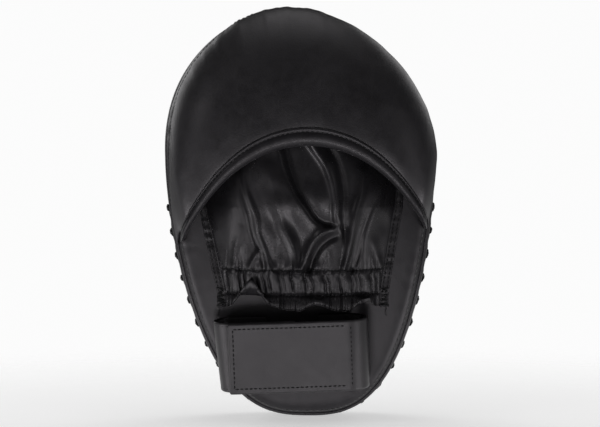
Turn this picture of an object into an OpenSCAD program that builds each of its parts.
// Curved focus mitt: a padded striking pad with a finger hood, a gathered hand cover and a
// hook-and-loop wrist strap.
// It stands upright, finger end up: the hand side faces -Y, the striking face faces +Y and Z runs
// from the wrist end to the finger end. Origin: below the middle of the mitt, level with its
// lowest point.
// Every piece is built lying on the striking face (X across, Y along, Z through the pad) and is
// then stood up by stand_up(). Left and right are as seen from the hand side: left is -X.
// Places on the pad are given as x across, "along" the curved face and "above" that face.

/* [Pad outline] */
// Half width of the pad at its widest line
half_width = 88; // [86:0.5:90]
// Position of the widest line above the middle
wide_at = 34; // [32:1:36]
// Arc length from the widest line to the finger end
top_len = 95.5; // [94:0.5:98]
// Arc length from the widest line to the wrist end
low_len = 163.5; // [161:0.5:166]
// Sideways lean of the finger end, to the left seen from the hand side
bow_top = 8.5; // [6:0.5:9]
// Sideways lean of the wrist end, to the right seen from the hand side
bow_low = 5; // [3:0.5:7]
// Radius that the striking face is curved to, end to end
bend_r = 800; // [760:10:900]

/* [Pad layers] */
// Thickness of the synthetic leather skins
skin = 1.4; // [1:0.1:1.4]
// Height of the laced seam above the striking face
lace_height = 19; // [18:0.5:20]
// Height of the back seam above the striking face
seam_height = 33.5; // [33:0.5:34]
// Height of the back panel above the striking face
back_height = 38; // [37.5:0.5:39]

/* [Finger hood] */
// Height of the hood's crown above its base seam
hood_rise = 34; // [33:0.5:35]
// Height of the hood's base seam above the striking face
hood_base = 44; // [43:0.5:45]
// Padding thickness in the hood
hood_pad = 9.5; // [8:0.5:10]
// Position of the hood's lip at mid width
lip_at = 39.5; // [38.5:0.5:41]
// How fast the lip drops away from mid width
lip_curve = 0.0066; // [0.0064:0.0001:0.007]

/* [Hand cover] */
// Rise of the hand cover above the back panel
cover_rise = 24; // [22:0.5:24.5]
// Half width of the cover at the wrist end of its side seams
cover_half_low = 54; // [50:1:56]
// Half width of the cover where its side seams are widest
cover_half_high = 66; // [62:1:68]
// Position of the gathered hem
hem_at = -56; // [-58:1:-54]

/* [Wrist strap] */
// Width of the strap webbing, along the mitt
strap_width = 46; // [44:1:48]
// Position of the strap's centre line
strap_at = -85; // [-86:0.5:-84]
// Thickness of one strap layer
strap_thick = 2; // [1.6:0.1:2]
// Outer radius of the fold of the hook side
hook_fold_r = 13.1; // [13.1:0.1:13.1]
// Across position of the hook side's fold centre
hook_fold_x = 30; // [29:0.5:31]
// Outer radius of the fold of the loop side
loop_fold_r = 11; // [11:0.1:11]
// Across position of the loop side's fold centre
loop_fold_x = -43.4; // [-44:0.2:-42]

/* [Lacing] */
// Number of lacing crossings round the wrist half
lace_count = 24; // [16:1:28]
// Radius of the lacing cord
lace_r = 0.9; // [0.7:0.1:1]

/* [Hidden] */

deg = 180 / PI;
gap = 0.1;          // clearance between neighbouring layers

// Outline sampling: each side runs over angles -end_angle (wrist) to end_angle (finger end).
end_angle = 88;
side_steps = 32;
ring_size = 2 * (side_steps + 1);
side_angles = [for (k = [0:side_steps]) -end_angle + 2 * end_angle * k / side_steps];

// Offsets that put the origin below the middle, level with the lowest point.
stand_y = 34.22;
stand_z = (bend_r + lace_height) * sin((low_len - wide_at) / bend_r * deg) + 2.39;
module stand_up() translate([0, stand_y, stand_z]) rotate([90, 0, 0]) children();

// ---- outline of the pad ----
function place(x, along, above) = let (angle = along / bend_r * deg)
    [x, (bend_r + above) * sin(angle), (bend_r + above) * cos(angle) - bend_r];

// The outline: half an ellipse, slightly pinched, to the finger end and a blunt superellipse
// that narrows all the way to the wrist end. Its middle line leans left above, right below.
function along_at(angle, inset) =
    wide_at + ((angle >= 0 ? top_len : low_len) - inset) * sin(angle);
function half_at(angle, inset) = (half_width - inset) * (angle >= 0
    ? cos(angle) * (1 - 0.12 * pow(sin(angle), 4))
    : pow(1 - pow(-sin(angle), 1.6), 1 / 2.8));
function middle_x(along) = along > wide_at
    ? -bow_top * pow((along - wide_at) / top_len, 1.15)
    : bow_low * pow((wide_at - along) / low_len, 1.5);

// Outline point as [x, along]; side is 1 on the right and -1 on the left.
function edge_at(angle, side, inset) =
    [middle_x(along_at(angle, 0)) + side * half_at(angle, inset), along_at(angle, inset)];
function rim(angle, side, inset, above) = let (edge = edge_at(angle, side, inset))
    place(edge[0], edge[1], above);

// One closed ring round the pad: up the right side, then down the left.
function ring(inset, above) = concat(
    [for (angle = side_angles) rim(angle, 1, inset, above)],
    [for (k = [side_steps:-1:0]) rim(side_angles[k], -1, inset, above)]);
function flat_ring(inset) = [for (p = ring(inset, 0)) [p[0], p[1]]];

// Open run round the wrist half, from start degrees below the widest line on the right, round
// the wrist end and back up the left.
function wrist_angle(start, share) = -start - (end_angle - start) * share;
function wrist_run(inset, above, start, steps) = concat(
    [for (k = [0:steps]) rim(wrist_angle(start, k / steps), 1, inset, above)],
    [for (k = [steps:-1:0]) rim(wrist_angle(start, k / steps), -1, inset, above)]);

// ---- solids from points ----
function quad(a, b, c, d) = [[a, b, c], [a, c, d]];
function flatten(groups) = [for (group = groups, item = group) item];
function ring_points(profile) = flatten([for (q = profile) ring(q[0], q[1])]);
function ring_walls(count, closed) = flatten([
    for (a = [0:count - (closed ? 1 : 2)], j = [0:ring_size - 1])
        let (low = a * ring_size, high = (a + 1) % count * ring_size, next = (j + 1) % ring_size)
        quad(low + j, high + j, high + next, low + next)]);

// A stack of rings, given as [inset, above] pairs and capped at both ends.
module stack(profile) {
    count = len(profile);
    last = (count - 1) * ring_size;
    end = ring_size - 1;
    first_cap = flatten([for (k = [0:side_steps - 1]) quad(k, k + 1, end - 1 - k, end - k)]);
    last_cap = flatten([for (k = [0:side_steps - 1])
        quad(last + end - k, last + end - 1 - k, last + k + 1, last + k)]);
    polyhedron(points = ring_points(profile),
        faces = concat(ring_walls(count, false), first_cap, last_cap), convexity = 6);
}

// A closed profile of [inset, above] pairs carried round the whole outline.
module wall(profile)
    polyhedron(points = ring_points(profile), faces = ring_walls(len(profile), true),
        convexity = 8);

// A thick sheet between two matching grids of points.
module sheet(top, under) {
    rows = len(top);
    cols = len(top[0]);
    size = rows * cols;
    end_row = size - cols;
    end_col = cols - 1;
    function edge(a, b) = quad(a, b, size + b, size + a);
    faces = flatten([for (k = [0:rows - 2], j = [0:cols - 2]) let (a = k * cols + j, b = a + size)
        concat(quad(a, a + cols, a + cols + 1, a + 1), quad(b, b + 1, b + cols + 1, b + cols))]);
    row_edges = flatten([for (j = [0:cols - 2])
        concat(edge(j, j + 1), edge(end_row + j + 1, end_row + j))]);
    col_edges = flatten([for (k = [0:rows - 2]) let (a = k * cols, b = a + cols)
        concat(edge(b, a), edge(a + end_col, b + end_col))]);
    polyhedron(points = concat(flatten(top), flatten(under)),
        faces = concat(faces, row_edges, col_edges), convexity = 8);
}

// A round rod from one point to another, cut short by trim (a share of its length plus a
// fixed length) at both ends.
module rod(from, to, radius, sides, trim_share = 0, trim = 0) {
    v = to - from;
    length = norm(v);
    cut = length * trim_share + trim;
    translate(from) rotate([0, acos(v[2] / length), atan2(v[1], v[0])])
        translate([0, 0, cut]) cylinder(h = length - 2 * cut, r = radius, $fn = sides);
}

// Sewn stitches, one between each two points in turn.
module stitch_row(points, radius = 0.3)
    for (k = [0:len(points) - 2])
        rod(points[k], points[k + 1], radius, sides = 16, trim_share = 0.14);
function line(from, to, steps) = [for (k = [0:steps]) from + (to - from) * k / steps];

// ---- striking face ----
// Shell of the bend, between two heights above the striking face.
module bend_shell(outer, inner) difference() {
    translate([0, 0, -bend_r]) rotate([0, 90, 0])
        cylinder(h = 260, r = bend_r + outer, center = true, $fn = 360);
    translate([0, 0, -bend_r]) rotate([0, 90, 0])
        cylinder(h = 262, r = bend_r + inner, center = true, $fn = 360);
}
module face_panel() color([0.16, 0.155, 0.165]) stand_up() intersection() {
    translate([0, 0, -30]) linear_extrude(height = 60) polygon(flat_ring(3.4));
    bend_shell(skin, 0);
}

// Gloss print: tapered stripes from fine points near the finger end, and a round aiming mark.
stripe_count = 13;
stripe_pitch = 12.8;
stripe_steps = 8;
stripe_low = -130;  // where the stripes end, past the wrist end
mark_centre = [4, 17];
mark_clear_r = 25;  // left free of stripes
mark_ring_r = 22;
mark_hole_r = 16.5;
mark_dot_r = 6;

// One stripe starts as a fine point, widens all the way down and drifts to the left.
function stripe_edge(x, j, side) = let (
        tip = 79.6 + 0.078 * x,
        share = j / stripe_steps,
        fall = (tip - stripe_low) * share,
        half = 0.2 + 4.1 * pow(share, 0.9))
    [x - 0.06 * fall - 0.00036 * pow(fall, 2) + side * half, tip - fall];
module stripe(x) polygon(concat(
    [for (j = [0:stripe_steps]) stripe_edge(x, j, -1)],
    [for (j = [stripe_steps:-1:0]) stripe_edge(x, j, 1)]));
module stripes() difference() {
    union() for (k = [0:stripe_count - 1]) stripe(((stripe_count - 1) / 2 - k) * stripe_pitch);
    translate(mark_centre) circle(r = mark_clear_r, $fn = 96);
}
module face_print() color([0.03, 0.03, 0.035]) stand_up() intersection() {
    bend_shell(-0.05, -0.2);
    translate([0, 0, -20]) linear_extrude(height = 40) union() {
        intersection() {
            polygon(flat_ring(7.5));
            stripes();
        }
        translate(mark_centre) difference() {
            circle(r = mark_ring_r, $fn = 96);
            circle(r = mark_hole_r, $fn = 96);
        }
        translate(mark_centre) circle(r = mark_dot_r, $fn = 64);
    }
}

// ---- padded body: every profile is a list of [inset, above] pairs ----
impact_top = 11.5;
core_top = 28;
board_top = 31.5;
foam_inset = 2;
board_inset = 2.4;
crown_inset = 10;   // edge of the flat middle of the back

module front_gusset() color([0.1, 0.1, 0.105]) stand_up()
    wall([[3.1, 0.1], [0.9, 1], [0, 3.6], [0, lace_height],
        [skin, lace_height], [skin, 4.4], [2.2, 2.4], [3.1, 1.7]]);
module rear_gusset() color([0.1, 0.1, 0.105]) stand_up() {
    low = lace_height + 0.4;
    bulge = lace_height + 6;
    top = seam_height - 0.3;
    wall([[0, low], [-0.4, bulge], [0, top], [skin, top], [skin - 0.3, bulge], [skin, low]]);
}
module impact_foam() color([0.25, 0.25, 0.27]) stand_up()
    stack([[4.4, skin + 0.25], [foam_inset, 5.6], [foam_inset, impact_top]]);
module core_foam() color([0.85, 0.85, 0.8]) stand_up()
    stack([[foam_inset, impact_top + gap], [foam_inset, core_top]]);
module backing_board() color([0.2, 0.2, 0.22]) stand_up()
    stack([[board_inset, core_top + gap], [board_inset, board_top]]);
module palm_foam() color([0.7, 0.7, 0.66]) stand_up()
    stack([[4.6, board_top + gap], [4.8, 33.9], [7, 35.8],
        [crown_inset, back_height - skin - gap]]);
module back_panel() color([0.11, 0.11, 0.115]) stand_up() {
    rim_above = seam_height - 0.1;
    stack([[crown_inset, back_height - skin], [7, 36], [4.6, 34.6], [4.2, rim_above],
        [2.8, rim_above], [2.9, 35], [3.8, 36.4], [6.2, 37.6], [crown_inset, back_height]]);
}
// Seam that joins the rear gusset and the back panel, round the wrist half.
module back_seam_thread() color([0.3, 0.3, 0.3]) stand_up()
    stitch_row(wrist_run(1.7, seam_height + 0.2, start = 20, steps = 44), radius = 0.25);
// Cord along the seam of the two gussets round the wrist half, with a knot at each crossing.
module closure_lace() color([0.05, 0.05, 0.05]) stand_up() {
    reach = lace_r + 0.35;  // from knot centre to pad edge and to the cord's end
    knots = wrist_run(-reach, lace_height + 0.2, start = 17, steps = lace_count / 2);
    for (k = [0:len(knots) - 2]) rod(knots[k], knots[k + 1], lace_r, sides = 24, trim = reach);
    for (knot = knots) translate(knot) sphere(r = lace_r + 0.3, $fn = 24);
}

// ---- finger hood ----
// sweep runs 0 to 1 from the left corner over the finger end to the right corner; fall runs 0
// to 1 from the lip to the base line; depth is measured in from the outside of the hood.
hood_cols = 24;
hood_rows = 9;
hood_skin_back = 5;     // the layers start this far behind the lip
lining_depth = skin + hood_pad + 1.3;
padding_foot = back_height + 0.3;

// Rounded arch: 1 in the middle, 0 at t = 1 or -1; a higher power is flatter on top.
function dome(t, power) = pow(1 - pow(abs(t), power), 0.6);
// Smooth step: 0 at either corner of the hood, 1 away from them.
function ease(t) = let (c = min(1, max(0, t))) c * c * (3 - 2 * c);
function away(sweep) = ease(min(sweep, 1 - sweep) / 0.12);

// The base line follows the pad's outline over the finger end.
function hood_edge(sweep, inset) = let (
        left = sweep < 0.5,
        corner = left ? -19.5 : -15.5,
        share = left ? 2 * sweep : 2 - 2 * sweep)
    edge_at(corner + (89 - corner) * share, left ? -1 : 1, inset);
// The top of the side strip leans in from it, more on the left side.
function hood_rim(sweep, depth) =
    hood_edge(sweep, 1.2 + (1.4 - 2.2 * sin(180 * (sweep - 0.5))) * away(sweep) + depth);
// The base seam runs down to the back seam at both corners.
function base_above(sweep) = let (low = seam_height + 0.5)
    low + (hood_base - low) * away(sweep);

function lip_x(sweep, depth) = 2.5 - (79.5 - depth) * cos(180 * sweep);
function lip_along(x) = lip_at - lip_curve * pow(x - 5, 2) - pow((x - 5) / 42, 4);
function lip_above(sweep, depth) =
    base_above(sweep) + 1 + (hood_rise - depth) * dome(2 * sweep - 1, 2.4);
function lip_point(sweep, back, depth) = let (x = lip_x(sweep, depth))
    place(x, lip_along(x) + back, lip_above(sweep, depth));

// foot is the height of the base line; without it the surface ends on the base seam.
function hood_point(sweep, fall, depth, foot) = let (
        base_edge = hood_rim(sweep, depth),
        x = lip_x(sweep, depth),
        along = lip_along(x) + hood_skin_back,
        base = is_undef(foot) ? base_above(sweep) + 0.2 : foot)
    place(x + (base_edge[0] - x) * fall, along + (base_edge[1] - along) * fall,
        base + (lip_above(sweep, depth) - base) * dome(fall, 2.3));
hood_sweeps = [for (j = [0:hood_cols]) 0.03 + 0.94 * j / hood_cols];
function hood_grid(depth, foot) = [for (k = [0:hood_rows])
    [for (sweep = hood_sweeps) hood_point(sweep, k / hood_rows, depth, foot)]];
module hood_sheet(outer, inner, foot = undef)
    sheet(hood_grid(outer, foot), hood_grid(inner, foot));

// Strip between the rear gusset and the hood cover.
function strip_grid(depth) = [for (t = [0, 0.35, 0.7, 1]) [for (j = [0:40]) let (
        sweep = 0.012 + 0.976 * j / 40,
        low = hood_edge(sweep, depth),
        edge = low + (hood_rim(sweep, depth) - low) * t)
    place(edge[0], edge[1], seam_height + (base_above(sweep) - seam_height) * t)]];
module hood_side_strip() color([0.13, 0.13, 0.135]) stand_up()
    sheet(strip_grid(skin), strip_grid(0));
module hood_cover() color([0.09, 0.09, 0.095]) stand_up() hood_sheet(0, skin);
module hood_foam() color([0.7, 0.7, 0.66]) stand_up()
    hood_sheet(skin + gap + 0.25, skin + hood_pad, padding_foot);
module hood_lining() color([0.13, 0.13, 0.13]) stand_up()
    hood_sheet(skin + hood_pad + 0.2, lining_depth, padding_foot);

// Binding round the hood's lip: [distance behind the lip, depth from the nearer surface].
binding_profile = [[4.8, 0], [2, 0], [0.4, 1.8], [0, 4]];
module hood_binding() color([0.12, 0.12, 0.125]) stand_up() sheet(
    [for (q = binding_profile) [for (sweep = hood_sweeps) lip_point(sweep, q[0], q[1])]],
    [for (q = binding_profile)
        [for (sweep = hood_sweeps) lip_point(sweep, q[0], lining_depth - q[1])]]);
module hood_binding_thread() color([0.06, 0.06, 0.06]) stand_up()
    stitch_row([for (sweep = line(0.05, 0.95, 56)) lip_point(sweep, 3.2, -1)]);

// ---- hand cover ----
cover_cols = 20;
cover_rows = 11;
cover_top = 66;     // finger end of the cover
cover_widest = 4;   // the side seams widen up to here, then draw in
flange = 5;         // flat edge along each side seam

function seam_x(along) = along < cover_widest
    ? cover_half_low + (cover_half_high - cover_half_low) * (along - hem_at)
        / (cover_widest - hem_at)
    : cover_half_high - 22 * sin(90 * (along - cover_widest) / (cover_top - cover_widest));
// u runs -1 to 1 over the arch; -2 and 2 are the outer edges of the flanges.
function cover_point(along, u, depth) = let (
        half = seam_x(along) - (along < cover_widest ? flange : 0),
        arched = abs(u) <= 1,
        x = arched ? u * (half - depth) : sign(u) * (half + (abs(u) - 1) * flange),
        rise = arched ? (cover_rise - 1) * dome(u, 3) : 0)
    place(middle_x(along) + x, along, back_height + 0.12 + skin - depth + rise);
function arch_stations(reach) =
    [for (j = [0:cover_cols]) reach * sin(-90 + 180 * j / cover_cols)];
function cover_grid(rows, across, depth) =
    [for (along = rows) [for (u = across) cover_point(along, u, depth)]];
module cover_sheet(rows, across, outer, inner)
    sheet(cover_grid(rows, across, outer), cover_grid(rows, across, inner));
hem_across = arch_stations(0.93);

module hand_cover() color([0.08, 0.08, 0.085]) stand_up()
    cover_sheet(line(hem_at, cover_top, cover_rows), concat([-2], arch_stations(1), [2]), 0, 1.2);
module cover_side_thread() color([0.05, 0.05, 0.05]) stand_up()
    for (side = [-1, 1], offset = [1.5, 3.6])
        stitch_row([for (along = line(hem_at + 1, cover_widest - 1, 26))
            place(middle_x(along) + side * (seam_x(along) - flange + offset), along,
                back_height + skin + 0.5)]);
module hem_elastic() color([0.2, 0.2, 0.2]) stand_up()
    cover_sheet([hem_at + 4, hem_at + 9, hem_at + 15], hem_across, 1.4, 2.4);
module hem_facing() color([0.09, 0.09, 0.09]) stand_up()
    cover_sheet([hem_at, hem_at + 10, hem_at + 19], hem_across, 2.6, 3.5);
module hem_thread() color([0.05, 0.05, 0.05]) stand_up()
    for (along = [hem_at + 3, hem_at + 17])
        stitch_row([for (angle = line(-62, 62, 48)) cover_point(along, sin(angle), -0.45)]);

// ---- wrist strap ----
cloth_gap = 0.05;
patch_thick = 1;
thread_lift = 0.36;
flap_end = -46;
flap_thick = strap_thick + 0.2;
flap_z = 2 * hook_fold_r + gap + cloth_gap;
band_end = -2;
band_z = 2 * loop_fold_r + gap + cloth_gap;
band_top = band_z + strap_thick;

// Frame on the back panel at the strap's centre line, turned slightly.
module strap_frame()
    translate([0, 0, -bend_r]) rotate([-strap_at / bend_r * deg, 0, 0]) translate([0, 0, bend_r])
        rotate([0, 0, 2]) translate([0, 0, back_height + 0.2]) children();
module slab(x0, x1, z, thick, width = strap_width)
    translate([x0, -width / 2, z]) cube([x1 - x0, width, thick]);
// Half a tube lying along the mitt: side 1 keeps the +X half, -1 the -X half.
module fold(x, radius, side) translate([x, 0, radius + gap]) rotate([90, 0, 0]) intersection() {
    difference() {
        cylinder(h = strap_width, r = radius, center = true, $fn = 72);
        cylinder(h = strap_width + 2, r = radius - strap_thick, center = true, $fn = 72);
    }
    translate([side > 0 ? 0 : -40, -40, -40]) cube([40, 80, 80]);
}
// Webbing on the back panel, folded over and ending in a short upper layer.
module anchor(x, radius, side, low_length, top_length = 9) union() {
    slab(min(x, x - side * low_length), max(x, x - side * low_length), gap, strap_thick);
    fold(x, radius, side);
    slab(min(x, x - side * top_length), max(x, x - side * top_length),
        gap + 2 * radius - strap_thick, strap_thick);
}

module strap_anchor() color([0.1, 0.1, 0.1]) stand_up() strap_frame()
    anchor(hook_fold_x, hook_fold_r, side = 1, low_length = 17);
module strap_flap() color([0.12, 0.12, 0.12]) stand_up() strap_frame()
    slab(flap_end, hook_fold_x, flap_z, flap_thick);
module hook_patch() color([0.06, 0.06, 0.06]) stand_up() strap_frame()
    slab(flap_end + 4, 18, flap_z - cloth_gap - patch_thick, patch_thick, strap_width - 9);
module strap_flap_thread() color([0.04, 0.04, 0.04]) stand_up() strap_frame() {
    z = flap_z + flap_thick + thread_lift;
    edge = strap_width / 2 - 4;
    for (y = [edge, -edge]) stitch_row(line([flap_end + 3.5, y, z], [29.5, y, z], 36));
    for (x = [flap_end + 2.5, 20]) stitch_row(line([x, 1 - edge, z], [x, edge - 1, z], 20));
}
module band_anchor() color([0.1, 0.1, 0.1]) stand_up() strap_frame()
    anchor(loop_fold_x, loop_fold_r, side = -1, low_length = 22);
module strap_band() color([0.12, 0.12, 0.12]) stand_up() strap_frame()
    slab(loop_fold_x, band_end, band_z, strap_thick);
module loop_patch() color([0.07, 0.07, 0.07]) stand_up() strap_frame()
    slab(loop_fold_x + 5, band_end - 1, band_top + cloth_gap, patch_thick, strap_width - 6);
module strap_band_thread() color([0.04, 0.04, 0.04]) stand_up() strap_frame() {
    z = band_z + strap_thick + thread_lift;
    edge = strap_width / 2 - 1.5;
    for (y = [-edge, edge])
        stitch_row(line([loop_fold_x + 2, y, z], [loop_fold_x + 44, y, z], 20));
}

face_panel();
face_print();
front_gusset();
rear_gusset();
impact_foam();
core_foam();
backing_board();
palm_foam();
back_panel();
back_seam_thread();
closure_lace();
hood_side_strip();
hood_cover();
hood_foam();
hood_lining();
hood_binding();
hood_binding_thread();
hand_cover();
cover_side_thread();
hem_elastic();
hem_facing();
hem_thread();
strap_anchor();
strap_flap();
hook_patch();
strap_flap_thread();
band_anchor();
strap_band();
loop_patch();
strap_band_thread();
